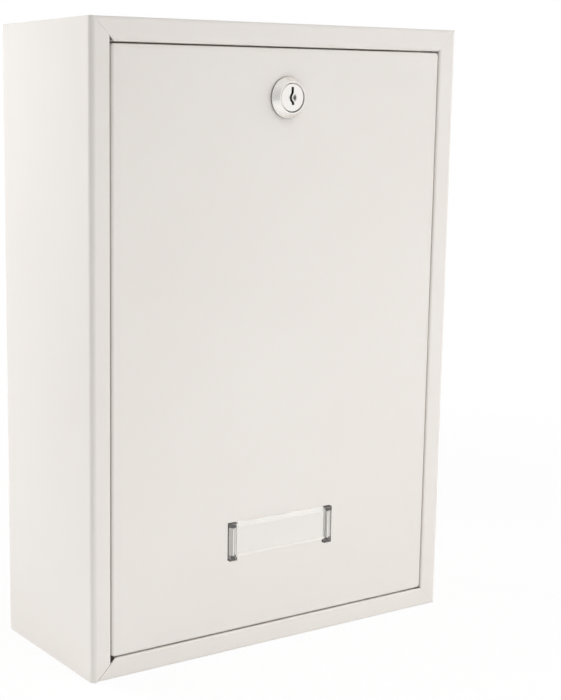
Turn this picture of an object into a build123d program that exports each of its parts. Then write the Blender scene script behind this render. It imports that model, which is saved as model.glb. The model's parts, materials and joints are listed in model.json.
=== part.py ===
from build123d import *
import math
import os

# A wall mailbox of folded steel sheet: a case with a framed front, a door that drops
# forward on two pins, a cam lock and a name window. Millimetres. The origin is the middle
# of the base, +Z is up and the door faces -Y.

# Case
case_width = 240.0
case_height = 340.0
case_depth = 97.0
sheet = 1.0
wall_bend = 3.0          # outer radius of the upright bends
panel_bend = 1.8         # outer radius of the long bends above and below
edge_bend = 1.2          # outer radius of the frame's turned-back edges
tab_height = 12.0        # tabs of the top and bottom panels, inside the walls
tab_setback = 22.0       # from a side tab's ends to the front and back faces
corner_relief = 2.2      # square notches at the tabbed corners

# Front frame, as widths seen from the front
frame_left = 11.2
frame_right = 12.3
frame_top = 12.1
frame_bottom = 11.2
frame_return = 11.7      # depth of the turned-back edges
setback_top = 1.8        # from a side return to the end of the top return
setback_bottom = 4.0     # and to the end of the bottom return
seam_gap = 0.1
seam_gap_bottom_left = 0.5
seam_top_left = 1.5      # how far each mitre seam starts from the outer corner
seam_top_right = 1.1
seam_bottom_left = 2.2
seam_bottom_right = 1.1
notch_from_side = 17.3   # notch in the top return, from the right wall
notch_width = 8.0

# Mail slot in the top
slot_margin = 5.0        # from the slot's ends to the side walls
slot_opening = 30.0
slot_from_front = 24.0
slot_lip = 6.0

# Holes for wall screws
wall_hole_radius = 3.25
wall_hole_from_side = 40.0
wall_hole_from_end = 40.0

# Door
door_gap = 0.8
door_depth = 11.5
door_corner = 1.8        # corner radius seen from the front
door_edge = 1.5          # outer radius of the bend round the front
corner_slit = 0.6        # open joint between two returns

# Hinge
pin_radius = 2.0
pin_from_face = 4.0      # behind the door's front
pin_from_edge = 8.0      # above the door's lower edge
pin_overhang = 1.4       # past the door's return
pin_head_radius = 2.8
pin_head = 1.2
pin_gap = 0.05           # running clearance on the radius

# Door stops
stop_width = 7.0         # leg that lies on the side return
stop_reach = 5.0         # past the side return, towards the door
stop_below_top = 26.0    # from the door's upper edge to the top of a stop
stop_above_bottom = 33.0

# Cam lock
lock_x = 0.0
lock_below_top = 25.65   # from the door's upper edge to the lock's axis
collar_radius = 11.1
collar_face_radius = 8.45
collar_height = 4.7
collar_rim = 0.6
collar_edge = 0.2        # bevel inside the collar's face
barrel_radius = 9.4
barrel_flats = 16.4
barrel_length = 11.4     # behind the door's front
turn_gap = 0.05          # plug in its bore, on the radius
slide_gap = 0.1
plug_head_radius = 7.55
plug_radius = 7.0
plug_head_length = 3.0
plug_recess = 0.3
plug_edge = 0.45         # bevel round the plug's face, seen from the front
plug_edge_depth = 1.0
dimple_radius = 2.7
dimple_depth = 1.2
key_slot_width = 1.6
key_slot_rise = 5.6      # from the axis to the slot's upper end
key_slot_drop = 3.8      # and to its lower end
key_slot_bow = 0.45      # its middle stands this far to the left
tail_square = 8.0
nut_flats = 24.0
nut_thickness = 4.0
washer_radius = 13.0
washer_thickness = 0.8
washer_teeth = 16
stop_lug_width = 2.4
stop_lug_inner = 7.4
lock_turn = 90.0

# Parts on the plug's tail
disc_radius = 9.2
disc_thickness = 1.0
cam_length = 33.0
cam_width = 14.0
cam_hub_radius = 9.5
cam_thickness = 2.0
cam_tip_corner = 3.0
cam_washer_radius = 6.0
cam_washer_thickness = 1.0
screw_radius = 2.0
screw_depth = 5.0
screw_head_radius = 4.0
screw_head = 2.6
screw_slot = 1.2

# Wafers
wafer_count = 4
wafer_pitch = 2.0
wafer_thickness = 0.9
wafer_width = 7.8
wafer_window_width = 3.4
wafer_window_height = 11.6
wafer_ear = 1.6
wafer_ear_height = 1.0
wafer_ear_z = 3.1
wafer_gap = 0.1
spring_radius = 0.4
spring_length = 4.9

# Name window
window_x = 0.0
window_z = 63.2
window_width = 70.3
window_height = 21.2
window_thickness = 3.0
window_end = 4.8         # solid ends beside the card pocket
window_edge = 0.4        # bevel round the front of an end
window_step = 1.7        # the middle's lower edge stands above the ends' by this
window_foot = 0.8        # thickness where a bevel starts
window_bevel = 2.2       # bevels above and below the middle
window_rail = 1.2        # solid edge above and below the pocket
pocket_depth = 0.6
prong_width = 1.2        # each leg is two prongs with a split between
leg_split = 1.0
leg_height = 15.5
split_skin = 0.8         # plastic left in front of the split
leg_room = 2.6           # above and below a leg in its slot
barb = 0.5
barb_depth = 0.9
card_thickness = 0.3
card_gap = 0.3
fit_gap = 0.2            # a leg in its slot, a lock in its hole

# Places worked out from the sizes
half_width = case_width / 2
front = -case_depth / 2
back = case_depth / 2
door_middle = (frame_left - frame_right) / 2
door_half_width = half_width - (frame_left + frame_right) / 2 - door_gap
door_bottom = frame_bottom + door_gap
door_top = case_height - frame_top - door_gap
return_end = front + frame_return
pin_y = front + pin_from_face
pin_z = door_bottom + pin_from_edge
lock_z = door_top - lock_below_top
collar_face = front - collar_height
barrel_end = front + barrel_length
plug_face = collar_face + plug_recess
plug_step = collar_face + plug_head_length
disc_front = barrel_end + slide_gap
cam_front = disc_front + disc_thickness
cam_back = cam_front + cam_thickness
tail_end = cam_back - slide_gap
screw_end = tail_end - screw_depth
key_slot_end = screw_end - sheet


def block(x, y, z):
    """A box between the two values of each of x, y and z."""
    size = (x[1] - x[0], y[1] - y[0], z[1] - z[0])
    return Pos((x[0] + x[1]) / 2, (y[0] + y[1]) / 2, (z[0] + z[1]) / 2) * Box(*size)


def on_side(side, inner, outer):
    """The x values of a stretch on the left, where side is -1, or on the right."""
    return sorted((side * inner, side * outer))


def across(face, y0, y1):
    """A face drawn in X and Z, as seen from the front, carried from y0 to y1."""
    plane = Plane((0, y1, 0), x_dir=(1, 0, 0), z_dir=(0, -1, 0))
    return extrude(plane * face, amount=y1 - y0)


def polygon(*points):
    return make_face(Polyline(*points, close=True))


def turned(*points):
    """A solid of revolution about Y, from points of radius and y."""
    return revolve(polygon(*points), axis=Axis.Y)


def folded(points, bends):
    """The section of a bent sheet along a middle line, with each bend's outer radius."""
    middle_radii = [bend - sheet / 2 for bend in bends]
    return trace(FilletPolyline(*points, radius=middle_radii), line_width=sheet)


def past_seam(side, seam, toward_wall):
    """The part of a frame corner on one side of its seam, with the case's end at z = 0.

    The seam starts on the end, at its distance from the wall, and runs in at 45 degrees.
    """
    far = 2 * max(frame_left, frame_right, frame_top, frame_bottom)
    along_seam = [(seam - sheet, sheet), (seam + far, -far)]
    rest = [(-sheet, -far), (-sheet, sheet)] if toward_wall else [(seam + far, sheet)]
    return polygon(*[(side * (half_width - x), z) for x, z in along_seam + rest])


def at_lock(shape):
    return Pos(lock_x, 0, lock_z) * shape


def frame_width(side):
    return frame_left if side < 0 else frame_right


def side_return_x(side):
    """The middle of a side return's sheet, as a distance from the case's middle."""
    return half_width - frame_width(side) + sheet / 2


def door_side_x(side, inset):
    """The x of the door's left or right outer face, or of a place that far inside it."""
    return door_middle + side * (door_half_width - inset)


def case_wrap():
    wall_x = half_width - sheet / 2
    front_y = front + sheet / 2
    back_y = back - sheet / 2
    left, right = ([(side * side_return_x(side), return_end), (side * side_return_x(side), front_y),
                    (side * wall_x, front_y), (side * wall_x, back_y)] for side in (-1, 1))
    path = left + right[::-1]
    bends = [edge_bend] + [wall_bend] * 4 + [edge_bend]
    wrap = extrude(folded(path, bends), amount=case_height)

    # The front flanges end at the mitre seams
    for side, top, bottom in ((-1, seam_top_left, seam_bottom_left),
                              (1, seam_top_right, seam_bottom_right)):
        top_corner = Pos(0, case_height) * past_seam(side, top, False)
        bottom_corner = mirror(past_seam(side, bottom, False), about=Plane.XZ)
        for corner in (top_corner, bottom_corner):
            wrap -= across(corner, front - sheet, return_end + sheet)

    # Holes for wall screws and for the hinge pins
    for side in (-1, 1):
        for z in (wall_hole_from_end, case_height - wall_hole_from_end):
            hole = Pos(side * (half_width - wall_hole_from_side), z) * Circle(wall_hole_radius)
            wrap -= across(hole, back - 2 * sheet, back + sheet)
        wrap -= hinge_bore(side * side_return_x(side), pin_radius + pin_gap / 2)
    return wrap


def hinge_bore(x, radius):
    """A hole along X through a sheet at x."""
    return Pos(x, pin_y, pin_z) * Rot(0, 90, 0) * Cylinder(radius, 3 * sheet)


def tray(reach, setback, seam_left, seam_right, gap_left):
    """The top panel, with its upper face at z = 0: flange, edge, top and tabs."""
    inner = half_width - sheet
    edge_z = -reach + sheet / 2
    top_z = -sheet / 2
    path = [(return_end, edge_z), (front + sheet / 2, edge_z), (front + sheet / 2, top_z),
            (back - 1.5 * sheet, top_z), (back - 1.5 * sheet, -tab_height)]
    section = folded(path, [edge_bend, panel_bend, panel_bend])
    side_view = Plane((-inner, 0, 0), x_dir=(0, 1, 0), z_dir=(1, 0, 0))
    panel = extrude(side_view * section, amount=2 * inner)

    return_y = (front + sheet, return_end + sheet)
    relief_y = (back - sheet - corner_relief, back)
    tab_y = (front + tab_setback, back - tab_setback)
    tab_foot = inner - 2 * panel_bend
    for side, flange_end in ((-1, seam_left + gap_left), (1, seam_right + seam_gap)):
        corner = past_seam(side, flange_end, True)
        panel -= across(corner, front - sheet, front + wall_bend)
        return_x = on_side(side, half_width - frame_width(side) - setback, half_width)
        panel -= block(return_x, return_y, (-2 * reach, -panel_bend))
        relief_x = on_side(side, inner - corner_relief, half_width)
        panel -= block(relief_x, relief_y, (-tab_height - sheet, sheet))

        tab_x = side * (inner - sheet / 2)
        tab_path = [(tab_x, -tab_height), (tab_x, top_z), (side * tab_foot, top_z)]
        panel -= block(on_side(side, tab_foot, half_width), tab_y, (-sheet, 0))
        panel += across(folded(tab_path, [panel_bend]), *tab_y)
    return panel


def top_panel():
    panel = tray(frame_top, setback_top, seam_top_left, seam_top_right, seam_gap)
    panel = Pos(0, 0, case_height) * panel

    slot_x = (-half_width + slot_margin, half_width - slot_margin)
    slot_front = front + slot_from_front
    slot_back = slot_front + slot_opening
    top = case_height
    panel += block(slot_x, (slot_front - sheet, slot_back + sheet), (top - slot_lip, top))
    panel -= block(slot_x, (slot_front, slot_back), (top - 2 * slot_lip, top + sheet))

    notch_right = half_width - notch_from_side
    panel -= block((notch_right - notch_width, notch_right), (front + sheet, return_end + sheet),
                   (top - frame_top - sheet, top - frame_top + edge_bend))
    return panel


def bottom_panel():
    panel = tray(frame_bottom, setback_bottom, seam_bottom_left, seam_bottom_right,
                 seam_gap_bottom_left)
    return mirror(panel, about=Plane.XY)


def door_stop(side):
    """An angle strip: one leg on the hidden face of the side return, one behind the door."""
    leg_x = side_return_x(side) + sheet
    leg_y = return_end + edge_bend - sheet / 2
    bottom = door_bottom + stop_above_bottom
    path = [(side * leg_x, leg_y - stop_width), (side * leg_x, leg_y),
            (side * (side_return_x(side) - stop_reach - sheet / 2), leg_y)]
    height = door_top - stop_below_top - bottom
    return Pos(0, 0, bottom) * extrude(folded(path, [edge_bend]), amount=height)


def hinge_pin(side):
    """A rivet whose head sits on the hidden face of the side return."""
    head_face = side_return_x(side) + sheet / 2
    shank_end = side * door_side_x(side, sheet + pin_overhang)
    shank = Cylinder(pin_radius, head_face - shank_end)
    head = Cylinder(pin_head_radius, pin_head)
    pin = Pos((head_face + shank_end) / 2, 0, 0) * Rot(0, 90, 0) * shank
    pin += Pos(head_face + pin_head / 2, 0, 0) * Rot(0, 90, 0) * head
    if side < 0:
        pin = mirror(pin, about=Plane.YZ)
    return Pos(0, pin_y, pin_z) * pin


def pan_solid(inset, y0, edge):
    """A rounded plate from y0 back to the door's rear, with its front edges rounded."""
    width = 2 * (door_half_width - inset)
    height = door_top - door_bottom - 2 * inset
    outline = Pos(door_middle, (door_top + door_bottom) / 2) * RectangleRounded(
        width, height, door_corner - inset)
    plate = across(outline, y0, front + door_depth)
    return fillet(plate.faces().sort_by(Axis.Y)[0].edges(), edge)


def lock_outline(gap):
    return Circle(barrel_radius + gap) & Rectangle(barrel_flats + 2 * gap, 4 * barrel_radius)


def leg_x(side):
    return side * (window_width - window_end) / 2


def door_panel():
    panel = pan_solid(0, front, door_edge) - pan_solid(sheet, front + sheet, door_edge - sheet)
    for side in (-1, 1):
        panel -= hinge_bore(door_side_x(side, sheet / 2), pin_radius + pin_gap)

        # The returns are folded separately, so they part at the corners
        for z, tilt in ((door_bottom, side), (door_top, -side)):
            slit = Box(4 * door_corner, door_depth, corner_slit)
            middle_y = front + door_edge + sheet + door_depth / 2
            panel -= Pos(door_side_x(side, 0), middle_y, z) * Rot(0, tilt * 45, 0) * slit

        slot = Rectangle(leg_split + 2 * (prong_width + fit_gap), leg_height + 2 * leg_room)
        panel -= across(Pos(window_x + leg_x(side), window_z) * slot, front - sheet, front + 2 * sheet)
    panel -= at_lock(across(lock_outline(fit_gap), front - sheet, front + 2 * sheet))
    return panel


def lock_body():
    bore = plug_radius + turn_gap
    head_bore = plug_head_radius + turn_gap
    barrel = across(lock_outline(0), front, barrel_end)
    collar = turned((0, collar_face), (collar_face_radius, collar_face),
                    (collar_radius, front - collar_rim), (collar_radius, front), (0, front))
    body = barrel + collar
    mouth = head_bore + collar_edge
    body -= turned((0, collar_face - sheet), (mouth, collar_face - sheet), (mouth, collar_face),
                   (head_bore, collar_face + collar_edge), (head_bore, plug_step),
                   (bore, plug_step), (bore, barrel_end + sheet), (0, barrel_end + sheet))

    # Channels that the wafers drop into when the key is out
    channel_x = (-wafer_width / 2, wafer_width / 2)
    channel_z = (barrel_radius + bore) / 2
    wafers_y = wafer_places()
    body -= block(channel_x, (wafers_y[0] - wafer_thickness, wafers_y[-1] + wafer_thickness),
                  (-channel_z, channel_z))
    lug_top = barrel_radius - fit_gap
    body += block((-stop_lug_width / 2, stop_lug_width / 2),
                  (barrel_end - sheet, cam_front - slide_gap), (stop_lug_inner, lug_top))
    return at_lock(body)


def wafer_places():
    """The middle of each wafer, counted forward from the end of the key slot."""
    last = key_slot_end - wafer_pitch / 2
    return [last - wafer_pitch * step for step in reversed(range(wafer_count))]


def ear_middle():
    return wafer_width / 2 + wafer_ear / 2


def lock_plug():
    head_back = plug_step - turn_gap
    plug = turned((0, plug_face), (plug_head_radius - plug_edge, plug_face),
                  (plug_head_radius, plug_face + plug_edge_depth), (plug_head_radius, head_back),
                  (plug_radius, head_back), (plug_radius, disc_front), (0, disc_front))
    plug += across(Rectangle(tail_square, tail_square), disc_front, tail_end)
    plug -= turned((0, plug_face - sheet), (dimple_radius, plug_face - sheet),
                   (dimple_radius, plug_face), (0, plug_face + dimple_depth))
    key_line = Polyline((0, key_slot_rise), (0, key_slot_rise / 2),
                        (-key_slot_bow, key_slot_rise / 6), (-key_slot_bow, -key_slot_drop / 3),
                        (key_slot_bow, -key_slot_drop * 3 / 4), (key_slot_bow, -key_slot_drop))
    plug -= across(trace(key_line, line_width=key_slot_width), plug_face - sheet, key_slot_end)
    plug -= across(Circle(screw_radius + turn_gap), screw_end, tail_end + 1)

    # Pockets, open above and below, with room at one side for an ear and its spring
    half_pocket = wafer_width / 2 + wafer_gap
    ear_pocket = (0, half_pocket + wafer_ear)
    pocket_top = wafer_ear_z + wafer_ear_height / 2 + wafer_gap
    pocket_bottom = wafer_ear_z - wafer_ear_height / 2 - spring_length
    for y in wafer_places():
        slice_y = (y - (wafer_thickness + wafer_gap) / 2, y + (wafer_thickness + wafer_gap) / 2)
        plug -= block((-half_pocket, half_pocket), slice_y, (-2 * plug_radius, 2 * plug_radius))
        plug -= block(ear_pocket, slice_y, (pocket_bottom, pocket_top))
    return at_lock(plug)


def lock_wafers():
    plate = Circle(plug_radius - wafer_gap) & Rectangle(wafer_width, 2 * plug_radius)
    outline = plate + Pos(ear_middle(), wafer_ear_z) * Rectangle(wafer_ear, wafer_ear_height)
    outline -= Rectangle(wafer_window_width, wafer_window_height)
    half = wafer_thickness / 2
    return at_lock(Compound([across(outline, y - half, y + half) for y in wafer_places()]))


def wafer_springs():
    ear_foot = wafer_ear_z - wafer_ear_height / 2
    spring = Cylinder(spring_radius, spring_length)
    return at_lock(Compound([Pos(ear_middle(), y, ear_foot - spring_length / 2) * spring
                             for y in wafer_places()]))


def lock_washer():
    ring = Circle(washer_radius) - lock_outline(fit_gap)
    tooth = Rectangle(washer_radius / 5, washer_radius / 10)
    for step in range(washer_teeth):
        ring -= Rot(0, 0, 360 * step / washer_teeth) * Pos(washer_radius, 0) * tooth
    seat = front + sheet
    return at_lock(across(ring, seat, seat + washer_thickness))


def lock_nut():
    hexagon = RegularPolygon(nut_flats / 2, 6, major_radius=False) - Circle(barrel_radius + turn_gap)
    seat = front + sheet + washer_thickness
    return at_lock(across(hexagon, seat, seat + nut_thickness))


def tail_hole():
    return Rectangle(tail_square + 2 * turn_gap, tail_square + 2 * turn_gap)


def stop_disc():
    """A disc with a notch, in which the lug of the lock body ends the turn both ways."""
    half_lug = math.degrees(math.atan2(stop_lug_width / 2, stop_lug_inner)) + 1
    steps = 4
    sweep = lock_turn + 2 * half_lug
    rays = []
    for step in range(steps + 1):
        angle = math.radians(90 - half_lug + sweep * step / steps)
        rays.append((2 * disc_radius * math.cos(angle), 2 * disc_radius * math.sin(angle)))
    notch = polygon((0, 0), *rays) - Circle(stop_lug_inner - fit_gap)
    return at_lock(across(Circle(disc_radius) - notch - tail_hole(), disc_front, cam_front))


def lock_cam():
    tip = Pos(-cam_length / 2, 0) * Rectangle(cam_length, cam_width)
    tip = fillet(tip.vertices().group_by(Axis.X)[0], cam_tip_corner)
    plate = Circle(cam_hub_radius) + tip - tail_hole()
    return at_lock(across(plate, cam_front, cam_back))


def cam_washer():
    ring = Circle(cam_washer_radius) - Circle(screw_radius + fit_gap)
    return at_lock(across(ring, cam_back, cam_back + cam_washer_thickness))


def cam_screw():
    seat = cam_back + cam_washer_thickness
    screw = across(Circle(screw_radius), screw_end, seat)
    screw += across(Circle(screw_head_radius), seat, seat + screw_head)
    screw -= across(Rectangle(2 * screw_head_radius, screw_slot), seat + screw_head / 2,
                    seat + screw_head + 1)
    return at_lock(screw)


def name_window():
    face = front - window_thickness
    bevel_end = front - window_foot
    low = -window_height / 2 + window_step
    high = window_height / 2
    section = [(front, low), (bevel_end, low), (face, low + window_bevel),
               (face, high - window_bevel), (bevel_end, high), (front, high)]
    side_view = Plane((-leg_x(1), 0, 0), x_dir=(0, 1, 0), z_dir=(1, 0, 0))
    window = extrude(side_view * polygon(*section), amount=2 * leg_x(1))
    window -= across(pocket(0), front - pocket_depth, front + sheet)

    hook = front + sheet + fit_gap
    for side in (-1, 1):
        end = Pos(leg_x(side), 0) * Rectangle(window_end, window_height)
        end = across(end, face, front)
        window += chamfer(end.faces().sort_by(Axis.Y)[0].edges(), window_edge)
        leg_z = (-leg_height / 2, leg_height / 2)
        split = block((-leg_split / 2, leg_split / 2), (face + split_skin, front + sheet), leg_z)
        window -= Pos(leg_x(side), 0, 0) * split
        for prong in (-1, 1):
            prong_x = on_side(prong, leg_split / 2, leg_split / 2 + prong_width)
            barb_x = on_side(prong, leg_split / 2, leg_split / 2 + prong_width + barb)
            leg = block(prong_x, (front, hook), leg_z)
            window += Pos(leg_x(side), 0, 0) * (leg + block(barb_x, (hook, hook + barb_depth), leg_z))
    return Pos(window_x, 0, window_z) * window


def pocket(gap):
    """The card's pocket, or the card where there is a gap round it."""
    height = window_height - window_step - 2 * (window_rail + gap)
    return Pos(0, window_step / 2) * Rectangle(window_width - 2 * (window_end + gap), height)


def name_card():
    return Pos(window_x, 0, window_z) * across(pocket(card_gap), front - card_thickness, front)


pieces = {
    "case_wrap": case_wrap(),
    "top_panel": top_panel(),
    "bottom_panel": bottom_panel(),
    "door_stop_left": door_stop(-1),
    "door_stop_right": door_stop(1),
    "hinge_pin_left": hinge_pin(-1),
    "hinge_pin_right": hinge_pin(1),
    "door_panel": door_panel(),
    "lock_body": lock_body(),
    "lock_washer": lock_washer(),
    "lock_nut": lock_nut(),
    "name_window": name_window(),
    "name_card": name_card(),
    "lock_plug": lock_plug(),
    "lock_wafers": lock_wafers(),
    "wafer_springs": wafer_springs(),
    "stop_disc": stop_disc(),
    "lock_cam": lock_cam(),
    "cam_washer": cam_washer(),
    "cam_screw": cam_screw(),
}

os.makedirs("parts", exist_ok=True)
for name, piece in pieces.items():
    export_step(piece, f"parts/{name}.step")
    box = piece.bounding_box()
    print(name, "volume", round(piece.volume, 1), "from", box.min, "to", box.max)
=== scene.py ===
import json
import math

import bmesh
import bpy
import numpy as np
from mathutils import Matrix, Vector


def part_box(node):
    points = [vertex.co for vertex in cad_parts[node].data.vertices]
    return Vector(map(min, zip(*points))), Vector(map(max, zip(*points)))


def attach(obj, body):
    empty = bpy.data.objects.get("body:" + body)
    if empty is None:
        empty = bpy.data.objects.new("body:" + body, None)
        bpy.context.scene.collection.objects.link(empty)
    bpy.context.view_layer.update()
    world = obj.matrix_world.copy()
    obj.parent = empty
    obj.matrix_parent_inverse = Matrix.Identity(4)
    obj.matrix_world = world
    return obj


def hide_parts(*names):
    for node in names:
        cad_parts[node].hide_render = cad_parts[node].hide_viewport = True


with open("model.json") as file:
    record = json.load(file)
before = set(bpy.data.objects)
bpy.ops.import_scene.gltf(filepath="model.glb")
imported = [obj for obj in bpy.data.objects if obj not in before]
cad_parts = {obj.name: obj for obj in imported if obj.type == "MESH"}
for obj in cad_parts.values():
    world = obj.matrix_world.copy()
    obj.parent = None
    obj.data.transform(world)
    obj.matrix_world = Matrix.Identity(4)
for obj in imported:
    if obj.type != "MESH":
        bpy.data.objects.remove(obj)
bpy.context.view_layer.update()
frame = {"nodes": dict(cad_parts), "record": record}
mm = 0.001  # in metres


nodes = frame["nodes"]
bodies = frame["record"]["behaviour"]["bodies"]
bodyOf = {node: body for body, members in bodies.items() for node in members}
slotOf = {entry["node"]: entry["material_slot"] for entry in frame["record"]["subparts"]}
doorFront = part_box("door_panel")[0].y
print("frame loaded,", len(nodes), "nodes")

# Camera: where it stands and how it is turned, matched to the edges of the case. Places are
# in metres, angles in degrees, and the focal length, centre and size in the picture's pixels
view = dict(place=(-0.4688, -0.6575, 0.2944), yaw=31.782, pitch=-9.541, roll=0.122,
            focal=1422.35, centreX=140.0, centreY=350.0, width=561, height=700, sensor=36.0,
            clip=(0.01, 50))


def makeCamera(v):
    yaw, pitch, roll = (math.radians(v[k]) for k in ("yaw", "pitch", "roll"))
    level = math.cos(pitch)
    forward = Vector((math.sin(yaw) * level, math.cos(yaw) * level, math.sin(pitch)))
    right = Vector((math.cos(yaw), -math.sin(yaw), 0))
    up = right.cross(forward)
    turnedRight = math.cos(roll) * right + math.sin(roll) * up
    turnedUp = -math.sin(roll) * right + math.cos(roll) * up
    data = bpy.data.cameras.new("camera")
    longSide = max(v["width"], v["height"])
    data.sensor_width = v["sensor"]
    data.lens = v["focal"] * v["sensor"] / longSide
    data.shift_x = (v["width"] / 2 - v["centreX"]) / longSide
    data.shift_y = -(v["height"] / 2 - v["centreY"]) / longSide
    data.clip_start, data.clip_end = v["clip"]
    camera = bpy.data.objects.new("camera", data)
    turn = Matrix((turnedRight, turnedUp, -forward)).transposed().to_4x4()
    camera.matrix_world = Matrix.Translation(v["place"]) @ turn
    bpy.context.scene.collection.objects.link(camera)
    bpy.context.scene.camera = camera


makeCamera(view)
bpy.context.scene.view_settings.view_transform = "Standard"
print("camera set")


# Shader maths: a Sock wraps a socket, and arithmetic on it adds Math nodes
class Sock:
    def __init__(self, mat, socket):
        self.mat, self.socket = mat, socket

    def join(self, operation, other, swap=False):
        pair = (other, self) if swap else (self, other)
        return self.mat.add("ShaderNodeMath", {"operation": operation}, {0: pair[0], 1: pair[1]})

    def __add__(self, other):
        return self.join("ADD", other)

    def __radd__(self, other):
        return self.join("ADD", other, True)

    def __sub__(self, other):
        return self.join("SUBTRACT", other)

    def __rsub__(self, other):
        return self.join("SUBTRACT", other, True)

    def __mul__(self, other):
        return self.join("MULTIPLY", other)

    def __rmul__(self, other):
        return self.join("MULTIPLY", other, True)

    def __truediv__(self, other):
        return self.join("DIVIDE", other)

    def __pow__(self, other):
        return self.join("POWER", other)


# A material, or the world, whose nodes are added by type, settings and socket values
class Mat:
    def __init__(self, name, made=None):
        self.data = made or bpy.data.materials.new(name)
        self.data.use_nodes = True
        self.tree = self.data.node_tree
        self.tree.nodes.clear()

    def add(self, kind, settings=None, inputs=None, output=0):
        node = self.tree.nodes.new(kind)
        for key, value in (settings or {}).items():
            setattr(node, key, value)
        for key, value in (inputs or {}).items():
            socket = node.inputs[key]
            if isinstance(value, Sock):
                self.tree.links.new(value.socket, socket)
            else:
                socket.default_value = value
        return Sock(self, node.outputs[output])

    def place(self):  # Object coordinates, in metres
        return self.add("ShaderNodeTexCoord", output="Object")

    def split(self, vector):  # its three numbers
        node = self.add("ShaderNodeSeparateXYZ", {}, {0: vector}).socket.node
        return [Sock(self, output) for output in node.outputs]

    def size(self, value):  # without its sign
        return self.add("ShaderNodeMath", {"operation": "ABSOLUTE"}, {0: value})

    def larger(self, a, b):
        return self.add("ShaderNodeMath", {"operation": "MAXIMUM"}, {0: a, 1: b})

    def ray(self, *kinds):  # 1 on rays of any of these kinds, such as "Camera"
        outputs = self.add("ShaderNodeLightPath").socket.node.outputs
        mask = Sock(self, outputs[f"Is {kinds[0]} Ray"])
        for kind in kinds[1:]:
            mask = self.larger(mask, Sock(self, outputs[f"Is {kind} Ray"]))
        return mask

    def noise(self, scale, detail=2.0, rough=0.5, vector=None):
        return self.add("ShaderNodeTexNoise", {}, {"Vector": vector or self.place(), "Scale": scale,
                                                    "Detail": detail, "Roughness": rough})

    # A value carried from one range to another, and held at its ends
    def spread(self, value, low, high, toLow, toHigh):
        return self.add("ShaderNodeMapRange", {"clamp": True},
                        {0: value, 1: low, 2: high, 3: toLow, 4: toHigh})

    def rise(self, value, start, width, full=1.0):  # a mask that goes up over this width
        return self.spread(value, start, start + width, 0.0, full)

    def fall(self, value, start, width, full=1.0):  # and one that goes down
        return self.spread(value, start, start + width, full, 0.0)

    def mix(self, factor, a, b):  # colour a where the factor is 0, and b where it is 1
        colourA, colourB = (c if isinstance(c, Sock) else (*c, 1) for c in (a, b))
        return self.add("ShaderNodeMix", {"data_type": "RGBA"},
                        {0: factor, 6: colourA, 7: colourB}, output=2)

    def bump(self, height, distance, strength=1.0, normal=None):
        inputs = {"Height": height, "Distance": distance, "Strength": strength}
        if normal:
            inputs["Normal"] = normal
        return self.add("ShaderNodeBump", {}, inputs)

    def matt(self, colour):
        return self.add("ShaderNodeBsdfDiffuse", {}, {"Color": (*colour, 1)})

    def blend(self, factor, a, b):  # the same with shaders
        return self.add("ShaderNodeMixShader", {}, {0: factor, 1: a, 2: b})

    def finish(self, shader):
        kind = "World" if self.data.id_type == "WORLD" else "Material"
        out = self.tree.nodes.new("ShaderNodeOutput" + kind)
        self.tree.links.new(shader.socket, out.inputs["Surface"])
        return self.data


def linear(*rgb):  # linear colour from 0..255 screen values
    return tuple((c / 255 / 12.92) if c <= 10 else ((c / 255 + 0.055) / 1.055) ** 2.4 for c in rgb)


def darker(colour, share):
    return tuple(share * c for c in colour)


def halfWidth(node):  # along X, in metres
    low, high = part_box(node)
    return (high.x - low.x) / 2


# The levels of a noise between which a pattern goes from none to full: nearly all of the
# noise, or its upper part, which leaves plain stretches
evenLevels = (0.3, 0.7)
patchLevels = (0.35, 0.7)

# Cream powder coat: a fine orange peel, and cloudy differences too faint to name
coat = dict(colour=linear(237, 233, 228), cloudy=linear(232, 227, 221), clouds=9.0, cloudiness=0.35,
            roughness=(0.39, 0.46), sheen=60.0, index=1.5, peel=900.0, peelDepth=0.00002,
            peelStrength=0.6, grain=5200.0, grainDepth=0.000004, grainStrength=0.5)


def powderCoat():
    m = Mat("cream powder coat")
    cloud = m.spread(m.noise(coat["clouds"], detail=3.0), *patchLevels, 0.0, coat["cloudiness"])
    rough = m.spread(m.noise(coat["sheen"]), *evenLevels, *coat["roughness"])
    normal = m.bump(m.noise(coat["peel"]), coat["peelDepth"], coat["peelStrength"])
    normal = m.bump(m.noise(coat["grain"], detail=1.0), coat["grainDepth"], coat["grainStrength"], normal)
    return m.finish(m.add("ShaderNodeBsdfPrincipled", {}, {
        "Base Color": m.mix(cloud, coat["colour"], coat["cloudy"]), "Roughness": rough,
        "Normal": normal, "IOR": coat["index"]}))


# Plated metal with fine rings round an axis along Y, as a lathe leaves them
nickel = dict(colour=linear(250, 247, 243), roughness=0.26, wear=(0.85, 1.2), wearScale=260.0,
              tarnish=0.9, tarnishScale=120.0, tarnishMost=0.4,
              ringPitch=0.00024, ringDepth=0.000003, ringStrength=0.5)

# Painted shade on it: a dark colour under the collar's rim, in the dimple beside the key slot,
# and in the groove round the plug, where it is faint above and to the left. Each reach is the two
# distances in mm between which it fades
paintedShade = dict(colour=linear(52, 49, 46), most=0.9, roughness=0.35, grooveReach=(0.1, 0.32),
            grooveDown=(0.5, -0.85), grooveFrom=-0.1, grooveFull=0.8, grooveFaint=0.1,
            rimReach=(0.25, 0.05), dimple=1.8, dimpleTall=2.0, dimpleReach=(0.4, 1.1))


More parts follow.
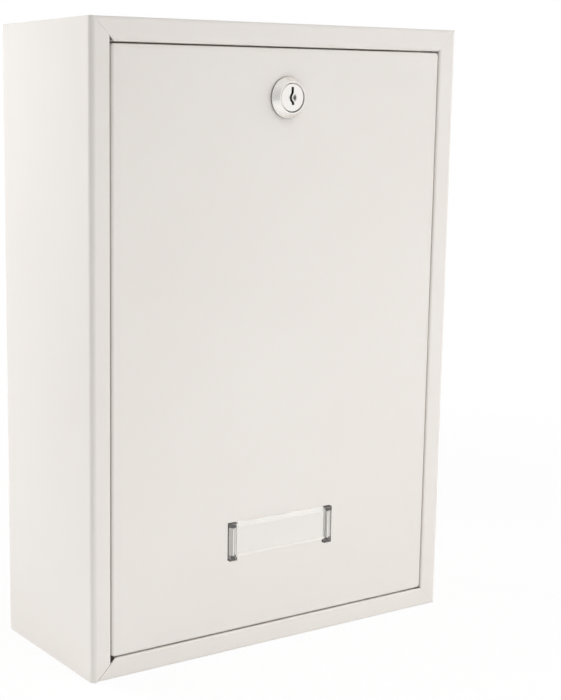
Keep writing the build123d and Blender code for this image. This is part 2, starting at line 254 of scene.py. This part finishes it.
def turnedMetal(name, axis, grooveRadius, rimRadius):
    m = Mat(name)
    x, _, z = m.split(m.place())
    across, up = x - axis[0], z - axis[1]
    radius = (across ** 2 + up ** 2) ** 0.5
    # Painted shade in the groove round the plug, strongest below and to the right
    right, above = paintedShade["grooveDown"]
    shadeSide = m.spread((across * right + up * above) / radius,
                      paintedShade["grooveFrom"], paintedShade["grooveFull"], paintedShade["grooveFaint"], 1.0)
    near, far = (v * mm for v in paintedShade["grooveReach"])
    groove = m.spread(m.size(radius - grooveRadius), near, far, 1.0, 0.0) * shadeSide
    inner, outer = (rimRadius - v * mm for v in paintedShade["rimReach"])
    rim = m.spread(radius, inner, outer, 0.0, 1.0)
    fromDimple = ((across - paintedShade["dimple"] * mm) ** 2 + (up / paintedShade["dimpleTall"]) ** 2) ** 0.5
    near, far = (v * mm for v in paintedShade["dimpleReach"])
    dimple = m.spread(fromDimple, near, far, 1.0, 0.0)
    # All the painted shade together: in the groove, under the rim and in the dimple
    shadeMask = m.larger(m.larger(groove, rim), dimple) * paintedShade["most"]
    rings = m.add("ShaderNodeMath", {"operation": "SINE"},
                  {0: radius * (2 * math.pi / nickel["ringPitch"])})
    rough = m.spread(m.noise(nickel["wearScale"], detail=3.0), *evenLevels,
                     *(nickel["roughness"] * k for k in nickel["wear"]))
    tarnish = m.spread(m.noise(nickel["tarnishScale"]), *patchLevels, 0.0, nickel["tarnishMost"])
    tone = m.mix(tarnish, nickel["colour"], darker(nickel["colour"], nickel["tarnish"]))
    return m.finish(m.add("ShaderNodeBsdfPrincipled", {}, {
        "Base Color": m.mix(shadeMask, tone, paintedShade["colour"]), "Metallic": 1.0 - shadeMask,
        "Roughness": rough + shadeMask * paintedShade["roughness"],
        "Normal": m.bump(rings, nickel["ringDepth"], nickel["ringStrength"])}))


# Zinc or brass with a faint streaked grain, drawn out along Z
streaks = dict(scale=400.0, squash=0.08, most=0.5, tone=0.82, wear=(0.85, 1.2), depth=0.000004,
               strength=0.4)
zinc = dict(name="zinc plate", colour=linear(190, 194, 198), roughness=0.34)
brass = dict(name="brass", colour=linear(205, 168, 96), roughness=0.3)


def plainMetal(name, colour, roughness):
    m = Mat(name)
    stretched = m.add("ShaderNodeMapping", {}, {
        "Vector": m.place(), "Scale": (1.0, 1.0, streaks["squash"])})
    streak = m.noise(streaks["scale"], detail=3.0, vector=stretched)
    shaded = m.spread(streak, *evenLevels, 0.0, streaks["most"])
    rough = m.spread(streak, *evenLevels, *(roughness * k for k in streaks["wear"]))
    return m.finish(m.add("ShaderNodeBsdfPrincipled", {}, {
        "Base Color": m.mix(shaded, colour, darker(colour, streaks["tone"])), "Metallic": 1.0,
        "Roughness": rough, "Normal": m.bump(streak, streaks["depth"], streaks["strength"])}))


# Moulded clear plastic with a few faint flow marks and slightly frosted bevels above and
# below. The legs behind its ends are frosted too, and the ends carry painted shade, a dark matt
# colour at their sides and where they cover the open slots. It bends what is seen through it, and
# lets the lamps through to what lies behind it. Lengths in mm, but the flow marks' depth in metres
plastic = dict(tint=(1.0, 1.0, 1.0), roughness=0.03, index=1.49, waves=90.0, waveDepth=0.000003,
               waveStrength=0.3, frostTone=linear(250, 248, 244), frostBelow=0.9, frostAbove=0.4,
               bevelFrom=0.35, bevelFull=0.6, endWidth=4.8, edge=0.1,
               legFrost=0.7, legReach=1.3, legHalf=7.6, legFrom=0.5, legFull=0.75,
               slotShadeTone=linear(80, 77, 74), capDepth=0.15, sideFrom=1.7, sideDark=0.9,
               backFrom=0.1, backDark=0.95, darkFull=0.3,
               mottle=1100.0, mottleLevels=(0.35, 0.6), mottleLeast=0.65)


def clearPlastic():
    m = Mat("clear plastic")
    p = plastic
    low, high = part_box("name_window")
    waves = m.bump(m.noise(p["waves"]), p["waveDepth"], p["waveStrength"])
    glass = m.add("ShaderNodeBsdfPrincipled", {}, {
        "Base Color": (*p["tint"], 1), "Roughness": p["roughness"], "IOR": p["index"],
        "Transmission Weight": 1.0, "Normal": waves})
    film = m.add("ShaderNodeBsdfTransparent", {}, {"Color": (*p["tint"], 1)})
    facing = m.split(m.add("ShaderNodeTexCoord", output="Normal"))[2]
    frost = (m.spread(facing, -p["bevelFrom"], -p["bevelFull"], 0.0, p["frostBelow"])
             + m.spread(facing, p["bevelFrom"], p["bevelFull"], 0.0, p["frostAbove"]))
    x, y, z = m.split(m.place())
    out = m.size(x - (low.x + high.x) / 2) / mm  # from the window's middle
    up = m.size(z - (low.z + high.z) / 2) / mm
    depth = (y - low.y) / mm  # back from its face
    thick = (doorFront - low.y) / mm
    halfEnd, halfHeight = p["endWidth"] / 2, (high.z - low.z) / 2 / mm
    fromLeg = m.size(out - (halfWidth("name_window") / mm - halfEnd))
    leg = (m.fall(fromLeg, p["legReach"], p["edge"], p["legFrost"])
           * m.fall(up, p["legHalf"], p["edge"]) * m.spread(depth, p["legFrom"], p["legFull"], 0.0, 1.0))
    end = m.fall(fromLeg, halfEnd, p["edge"])
    # Painted shade on the ends: a dark matt colour at the caps above and below, at the rear of their
    # sides, and at the back over the slots, mottled at random
    cap = end * m.rise(up, halfHeight - p["capDepth"] - p["edge"], p["edge"])
    side = (end * m.rise(fromLeg, halfEnd - p["edge"], p["edge"], p["sideDark"])
            * m.rise(depth, p["sideFrom"], p["edge"])
            * m.fall(depth, thick + p["backFrom"], p["backFrom"]))
    back = (end * m.rise(up, p["legHalf"], p["edge"], p["backDark"])
            * m.rise(depth, thick - 2 * p["backFrom"], p["backFrom"]))
    mottle = m.spread(m.noise(p["mottle"]), *p["mottleLevels"], p["mottleLeast"], 1.0)
    dark = m.larger(cap, m.larger(side, back)) * mottle
    tone = m.spread(dark, 0.0, p["darkFull"], 0.0, 1.0)
    # The frost and the painted shade, blended by how dark the shade is
    frostAndShade = m.blend(tone, m.matt(p["frostTone"]), m.matt(p["slotShadeTone"]))
    seen = m.blend(m.larger(m.larger(frost, leg), dark), glass, frostAndShade)
    return m.finish(m.blend(m.ray("Shadow", "Diffuse"), seen, film))


# Plain card with short paper fibres
paper = dict(tone=linear(237, 234, 229), fibreTone=linear(231, 227, 222), fibres=1400.0,
             fibreMost=0.25, roughness=0.8, depth=0.00001, strength=0.4)


def card():
    m = Mat("plain card")
    fibres = m.noise(paper["fibres"], detail=4.0, rough=0.7)
    tone = m.mix(m.spread(fibres, *evenLevels, 0.0, paper["fibreMost"]), paper["tone"], paper["fibreTone"])
    return m.finish(m.add("ShaderNodeBsdfPrincipled", {}, {
        "Base Color": tone, "Roughness": paper["roughness"],
        "Normal": m.bump(fibres, paper["depth"], paper["strength"])}))


plugLow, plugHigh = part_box("lock_plug")
lockAxis = ((plugLow.x + plugHigh.x) / 2, (plugLow.z + plugHigh.z) / 2)
finishes = {
    "cream_coat": powderCoat(),
    "nickel": turnedMetal("nickel plate", lockAxis, halfWidth("lock_plug"), halfWidth("lock_body")),
    "zinc_steel": plainMetal(**zinc),
    "brass": plainMetal(**brass),
    "clear_plastic": clearPlastic(),
    "card": card(),
}
print("materials made,", len(finishes))


def dress(obj, finish):
    obj.data.materials.clear()
    obj.data.materials.append(finish)


for name, node in nodes.items():
    dress(node, finishes[slotOf[name]])
print("nodes dressed")


# A piece takes a node's place, on its body and with its finish
def standFor(piece, node):
    dress(piece, finishes[slotOf[node]])
    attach(piece, bodyOf[node])
    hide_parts(node)


def addPiece(name, mesh):
    piece = bpy.data.objects.new(name, mesh)
    bpy.context.scene.collection.objects.link(piece)
    return piece


def smooth(mesh):
    mesh.polygons.foreach_set("use_smooth", np.ones(len(mesh.polygons), bool))


# Copies of the folded, moulded and flat nodes: merged, flat stretches joined, and every
# sharp edge rounded by a small radius in mm, as the coat or the mould leaves it
softEdges = {
    "case_wrap": 0.12, "top_panel": 0.12, "bottom_panel": 0.12, "door_panel": 0.15,
    "door_stop_left": 0.15, "door_stop_right": 0.15, "lock_plug": 0.05, "lock_washer": 0.08,
    "stop_disc": 0.08, "lock_cam": 0.2, "cam_washer": 0.1, "cam_screw": 0.15, "name_window": 0.12,
}
# Points nearer than weld, in metres, are one place; angles are in degrees, and lift in mm
soften = dict(weld=1e-6, flat=0.2, sharp=32.0, segments=2, evenWeight=100, lift=0.05)


# The window's back stands a little in front of the door, so that the two faces stay apart
def liftOffDoor(mesh):
    places = np.empty(len(mesh.vertices) * 3, np.float32)
    mesh.vertices.foreach_get("co", places)
    places = places.reshape(-1, 3)
    places[abs(places[:, 1] - doorFront) < soften["weld"], 1] -= soften["lift"] * mm
    mesh.vertices.foreach_set("co", places.ravel())


def softCopy(node, radius):
    mesh = nodes[node].data.copy()
    work = bmesh.new()
    work.from_mesh(mesh)
    bmesh.ops.remove_doubles(work, verts=work.verts, dist=soften["weld"])
    bmesh.ops.dissolve_limit(work, angle_limit=math.radians(soften["flat"]),
                             verts=work.verts, edges=work.edges)
    work.to_mesh(mesh)
    work.free()
    if node == "name_window":
        liftOffDoor(mesh)
    smooth(mesh)
    piece = addPiece(node + "_finished", mesh)
    edge = piece.modifiers.new("edges", "BEVEL")
    edge.limit_method = "ANGLE"
    edge.angle_limit = math.radians(soften["sharp"])
    edge.width = radius * mm
    edge.segments = soften["segments"]
    even = piece.modifiers.new("even shading", "WEIGHTED_NORMAL")
    even.mode = "FACE_AREA"
    even.weight = soften["evenWeight"]
    standFor(piece, node)


for name, radius in softEdges.items():
    softCopy(name, radius)
print("soft edges made,", len(softEdges))

gridWeld = 0.0005  # points nearer than this, in mm, are joined


# Pieces worked out as grids of points: rows along a profile, columns round it
def gridMesh(name, *grids, closedRows=False):
    points, faces, count = [], [], 0
    for places in grids:
        index = count + np.arange(places[..., 0].size).reshape(places.shape[:2])
        near = index if closedRows else index[:-1]
        far = np.roll(index, -1, 0)[:len(near)]
        quads = np.stack([near, np.roll(near, -1, 1), np.roll(far, -1, 1), far], -1)
        points.append(places.reshape(-1, 3))
        faces.append(quads.reshape(-1, 4))
        count += index.size
    mesh = bpy.data.meshes.new(name)
    mesh.from_pydata((np.concatenate(points) * mm).tolist(), [], np.concatenate(faces).tolist())
    work = bmesh.new()
    work.from_mesh(mesh)
    bmesh.ops.remove_doubles(work, verts=work.verts, dist=gridWeld * mm)
    bmesh.ops.dissolve_degenerate(work, edges=work.edges, dist=gridWeld * mm)
    bmesh.ops.recalc_face_normals(work, faces=work.faces)
    work.to_mesh(mesh)
    work.free()
    smooth(mesh)
    return mesh


# Corners of an outline turned into short curves: each point gives way to the quadratic
# (1-t)^2 a + 2t(1-t) p + t^2 b, with a and b the given distance, or at most half a side,
# back along the two sides
def rounded(points, distance, steps=4, closed=True):
    points = np.array(points, float)
    before, after = np.roll(points, 1, 0) - points, np.roll(points, -1, 0) - points
    reach = np.broadcast_to(distance, len(points))[:, None]
    a, b = (points + side * np.minimum(reach / np.linalg.norm(side, axis=1, keepdims=True), 0.5)
            for side in (before, after))
    t = np.linspace(0, 1, steps + 1)[None, :, None]
    curves = (1 - t) ** 2 * a[:, None] + 2 * t * (1 - t) * points[:, None] + t ** 2 * b[:, None]
    if not closed:
        curves[0], curves[-1] = points[0], points[-1]
    return curves.reshape(-1, 2)


# A profile of (radius, height) rows carried round: x = r cos a, z = r sin a, y = height
def carriedRound(radius, height, columns):
    angle = np.linspace(0, 2 * math.pi, columns, endpoint=False)[None, :]
    radius, height = np.atleast_2d(radius), np.atleast_2d(height)
    radius, height = (v.T if v.shape[0] == 1 else v for v in (radius, height))
    around = radius + 0 * angle
    return np.stack([around * np.cos(angle), height + 0 * around, around * np.sin(angle)], -1)


# A thread's radius: it drops by half a cosine wave once a pitch, and the wave turns with the angle
def threadRows(crest, depth, pitch, start, end, columns, perPitch=6):
    height = np.linspace(start, end, int((end - start) / pitch * perPitch) + 1)[:, None]
    angle = np.linspace(0, 2 * math.pi, columns, endpoint=False)[None, :]
    wave = 0.5 - 0.5 * np.cos(2 * math.pi * height / pitch - angle)
    ends = np.clip(np.minimum(height - start, end - height) / pitch, 0, 1)
    return carriedRound(crest - depth * wave * ends, height + 0 * angle, columns)


def frameBox(node):  # lowest and highest corner in mm, as arrays
    return [np.array(corner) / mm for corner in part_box(node)]


# An outline in x and z carried from one height to another, drawn in by an edge at the end
def liftedOutline(outline, start, end, edge):
    middle = outline.mean(0)
    shrink = 1 - edge / np.abs(outline - middle).max()
    rows = [(0, start), (1, start), (1, end - edge), (shrink, end), (0, end)]
    return np.stack([np.stack([middle[0] + k * (outline[:, 0] - middle[0]), 0 * outline[:, 0] + y,
                               middle[1] + k * (outline[:, 1] - middle[1])], -1) for k, y in rows])


# Lock body: collar with a cone and a narrow ring, a threaded barrel with two flats, and a
# lug behind it. Radii and lengths in mm; lengths run backward from the door's front
lockBody = dict(ring=8.45, mouthEdge=0.25, mouthDepth=1.0, bore=7.05, headGap=0.05, headLength=3.0,
                rim=0.6, undercut=0.3, barrel=9.4, flat=8.2, length=11.4, tipEdge=0.4,
                pitch=1.0, depth=0.3, threadFrom=1.4, lugHalf=1.2, lugLow=7.4, lugHigh=9.2,
                lugFoot=1.0, lugCorner=0.25, lugEdge=0.2, soft=0.12, columns=144)


def makeLockBody():
    v = lockBody
    low, high = frameBox("lock_body")
    plugLow, plugHigh = frameBox("lock_plug")
    front = doorFront / mm
    centre = np.array([(low[0] + high[0]) / 2, front, (low[2] + high[2]) / 2])
    collar = (high[0] - low[0]) / 2
    face = low[1] - front
    headBore = (plugHigh[0] - plugLow[0]) / 2 + v["headGap"]
    step = face + v["headLength"]
    mouth, mouthEnd = headBore + v["mouthEdge"], face + v["mouthDepth"]
    head = rounded([(v["bore"], step), (headBore, step), (headBore, mouthEnd), (mouth, mouthEnd),
                    (mouth, face), (v["ring"], face), (collar, -v["rim"]), (collar, -v["undercut"]),
                    (collar - v["undercut"], 0), (v["barrel"], 0), (v["barrel"], v["threadFrom"])],
                   v["soft"], closed=False)
    tip = rounded([(v["barrel"], v["length"] - v["tipEdge"]), (v["barrel"] - v["tipEdge"], v["length"]),
                   (v["bore"], v["length"])], v["soft"], closed=False)
    thread = threadRows(v["barrel"], v["depth"], v["pitch"], v["threadFrom"],
                        v["length"] - v["tipEdge"], v["columns"])
    places = np.concatenate([carriedRound(*head.T, v["columns"]), thread[1:-1],
                             carriedRound(*tip.T, v["columns"])])
    behind = places[..., 1] > 0
    flat = np.clip(places[..., 0], -v["flat"], v["flat"])
    places[..., 0] = np.where(behind, flat, places[..., 0])
    lugOutline = rounded([(-v["lugHalf"], v["lugLow"]), (v["lugHalf"], v["lugLow"]),
                          (v["lugHalf"], v["lugHigh"]), (-v["lugHalf"], v["lugHigh"])], v["lugCorner"])
    lug = liftedOutline(lugOutline, v["length"] - v["lugFoot"], high[1] - front, v["lugEdge"])
    piece = addPiece("lock_body_turned", gridMesh("lock body", places + centre, closedRows=True))
    stop = addPiece("lock_body_lug", gridMesh("lock body lug", lug + centre))
    for made in (piece, stop):
        standFor(made, "lock_body")


makeLockBody()

# Lock nut: a hexagon whose radius is a / cos(angle mod 60 - 30 degrees), cut at both faces
# by a cone, round a threaded bore
lockNut = dict(bore=9.45, depth=0.3, pitch=1.0, coneStart=0.1, coneRise=1.75, columns=144,
               levels=(0.0, 0.2, 0.4, 0.6, 0.8, 1.0, 1.2))


def makeNut():
    v = lockNut
    low, high = frameBox("lock_nut")
    centre = (low + high) / 2
    flats, thick = (high[2] - low[2]) / 2, high[1] - low[1]
    angle = np.linspace(0, 2 * math.pi, v["columns"], endpoint=False)[None, :]
    hexagon = flats / np.cos(angle % (math.pi / 3) - math.pi / 6)
    near = np.array(v["levels"])
    height = np.concatenate([near, thick - near[::-1]])[:, None]
    cone = flats + v["coneStart"] + v["coneRise"] * np.minimum(height, thick - height)
    outside = carriedRound(np.minimum(hexagon, cone), height + 0 * angle, v["columns"])
    bore = threadRows(v["bore"], -v["depth"], v["pitch"], 0, thick, v["columns"])[::-1]
    places = np.concatenate([outside, bore]) + np.array([centre[0], low[1], centre[2]])
    standFor(addPiece("lock_nut_turned", gridMesh("lock nut", places, closedRows=True)), "lock_nut")


makeNut()

# Hinge rivets: a domed head on the hidden side of the return, and a rounded shank. The dome
# is a quarter of an ellipse: radius r sin s, height h (1 - cos s)
rivet = dict(head=1.2, brow=0.55, shank=2.0, tip=0.35, soft=0.15, domeRows=9, columns=64)


def makeRivet(node):
    v = rivet
    low, high = frameBox(node)
    centre = (low + high) / 2
    outward = math.copysign(1, centre[0])
    radius, length = (high[2] - low[2]) / 2, high[0] - low[0]
    swing = np.linspace(0, math.pi / 2, v["domeRows"])
    dome = np.stack([radius * np.sin(swing), (v["head"] - v["brow"]) * (1 - np.cos(swing))], -1)
    body = rounded([(radius, v["head"] - v["brow"]), (radius, v["head"]), (v["shank"], v["head"]),
                    (v["shank"], length - v["tip"]), (v["shank"] - v["tip"], length), (0, length)],
                   v["soft"], closed=False)
    turned = carriedRound(*np.concatenate([dome, body]).T, v["columns"])
    headEnd = high[0] if outward > 0 else low[0]
    places = np.stack([headEnd - outward * turned[..., 1], centre[1] + turned[..., 0],
                       centre[2] + turned[..., 2]], -1)
    standFor(addPiece(node + "_turned", gridMesh(node, places)), node)


for name in ("hinge_pin_left", "hinge_pin_right"):
    makeRivet(name)

# Wafer springs: four small coils. A coil's middle line is (r cos 2 pi n t, r sin 2 pi n t, height t)
coil = dict(count=4, pitch=2.0, wire=0.11, turns=8, steps=20, around=8)


def makeSprings():
    v = coil
    low, high = frameBox("wafer_springs")
    mean = (high[0] - low[0]) / 2 - v["wire"]
    t = np.linspace(0, 1, v["turns"] * v["steps"] + 1)[:, None]
    turn = 2 * math.pi * v["turns"] * t
    around = np.linspace(0, 2 * math.pi, v["around"], endpoint=False)[None, :]
    taper = v["wire"] * np.clip(np.minimum(t, 1 - t) * v["turns"] * v["steps"], 0, 1)
    reach = mean + taper * np.cos(around)
    rise = (high[2] - low[2] - 2 * v["wire"]) * t + v["wire"] + taper * np.sin(around)
    one = np.stack([reach * np.cos(turn), reach * np.sin(turn), rise], -1)
    foot = np.array([(low[0] + high[0]) / 2, low[1] + (high[0] - low[0]) / 2, low[2]])
    grids = [one + foot + np.array([0, v["pitch"] * k, 0]) for k in range(v["count"])]
    standFor(addPiece("wafer_springs_coiled", gridMesh("wafer springs", *grids)), "wafer_springs")


makeSprings()
print("turned pieces made")

# Studio: a pale floor, white surroundings and soft lamps. Reflections see a darker patch behind
# the left shoulder of someone who faces the door, and a slightly darker ceiling, as in a room
# that is white elsewhere. Lengths in metres
studio = dict(floorHalf=3.0, floorTone=linear(250, 250, 250), floorCloud=linear(246, 247, 249),
              floorClouds=3.0, floorCloudiness=0.1, lift=0.9, shadowReach=0.3, whiteFrom=0.7,
              white=1.0, soft=0.48, softColour=(1.0, 0.99, 0.98), darkSide=(-0.8, -0.6),
              darkFrom=0.1, darkFull=0.9, darkness=0.36, darkFloor=(0.4, 2.0),
              aboveFrom=0.4, aboveFull=0.85, aboveDark=0.16)


# How dark reflections find the direction with these two numbers, out of 1
def darkPatch(m, x, y):
    toward = x * studio["darkSide"][0] + y * studio["darkSide"][1]
    dark = m.spread(toward, studio["darkFrom"], studio["darkFull"], 0.0, studio["darkness"])
    return dark * m.ray("Glossy")


# And how dark they find the ceiling
def darkAbove(m, z):
    dark = m.spread(z, studio["aboveFrom"], studio["aboveFull"], 0.0, studio["aboveDark"])
    return dark * m.ray("Glossy")


# A pale floor, lifted towards white where it is seen, that keeps part of its shadow
def studioWhite():
    m = Mat("pale floor")
    cloud = m.spread(m.noise(studio["floorClouds"]), *evenLevels, 0.0, studio["floorCloudiness"])
    pale = m.blend(cloud, m.matt(studio["floorTone"]), m.matt(studio["floorCloud"]))
    glow = m.add("ShaderNodeEmission", {}, {"Color": (1, 1, 1, 1), "Strength": studio["white"]})
    x, y, _ = m.split(m.place())
    away = (x ** 2 + y ** 2) ** 0.5
    lift = m.spread(away, studio["shadowReach"], studio["whiteFrom"], studio["lift"], 1.0)
    seen = m.blend(m.ray("Camera", "Glossy", "Transmission") * lift, pale, glow)
    dark = darkPatch(m, x / away, y / away) * m.spread(away, *studio["darkFloor"], 0.0, 1.0)
    return m.finish(m.blend(dark, seen, m.matt((0, 0, 0))))


def makeFloor():
    half = studio["floorHalf"]
    mesh = bpy.data.meshes.new("floor")
    corners = [(-half, -half, 0), (half, -half, 0), (half, half, 0), (-half, half, 0)]
    mesh.from_pydata(corners, [], [(0, 1, 2, 3)])
    floor = addPiece("floor", mesh)
    dress(floor, studioWhite())


def makeWorld():
    m = Mat("studio", bpy.data.worlds.new("studio"))
    x, y, z = m.split(m.add("ShaderNodeTexCoord", output="Generated"))
    tones = ((1, 1, 1), studio["white"]), (studio["softColour"], studio["soft"]), ((0, 0, 0), 1.0)
    white, soft, black = (m.add("ShaderNodeBackground", {}, {"Color": (*colour, 1), "Strength": strength})
                          for colour, strength in tones)
    seen = m.blend(m.larger(darkPatch(m, x, y), darkAbove(m, z)), white, black)
    shown = m.ray("Camera", "Glossy", "Transmission")
    bpy.context.scene.world = m.finish(m.blend(shown, soft, seen))


# Square area lamps, each with the point that it looks at, in metres, watts and degrees
lamps = {
    "left": dict(place=(-0.55, 0.7, 0.45), target=(-0.12, 0, 0.25), size=0.5, watts=5.4, spread=180),
    "front right": dict(place=(1.9, -0.9, 0.3), target=(0, 0, 0.17), size=2.4, watts=27.0, spread=180),
    "floor in front": dict(place=(0.15, -0.75, 1.0), target=(0.15, -0.75, 0), size=0.6,
                           watts=2.5, spread=100),
    "floor before the door": dict(place=(0.1, -0.45, 1.0), target=(0.1, -0.45, 0), size=0.4,
                                  watts=0.35, spread=60),
}


def areaLamp(name, place, target, size, watts, spread):
    data = bpy.data.lights.new(name, "AREA")
    data.shape = "SQUARE"
    data.size = size
    data.energy = watts
    data.spread = math.radians(spread)
    lamp = bpy.data.objects.new(name, data)
    lamp.visible_camera = False
    lamp.visible_glossy = False  # metal shows the white surroundings, not the lamps
    aim = (Vector(target) - Vector(place)).to_track_quat("-Z", "Y")
    lamp.matrix_world = Matrix.Translation(place) @ aim.to_matrix().to_4x4()
    bpy.context.scene.collection.objects.link(lamp)


makeFloor()
makeWorld()
for name, lamp in lamps.items():
    areaLamp(name, **lamp)
print("studio lit")
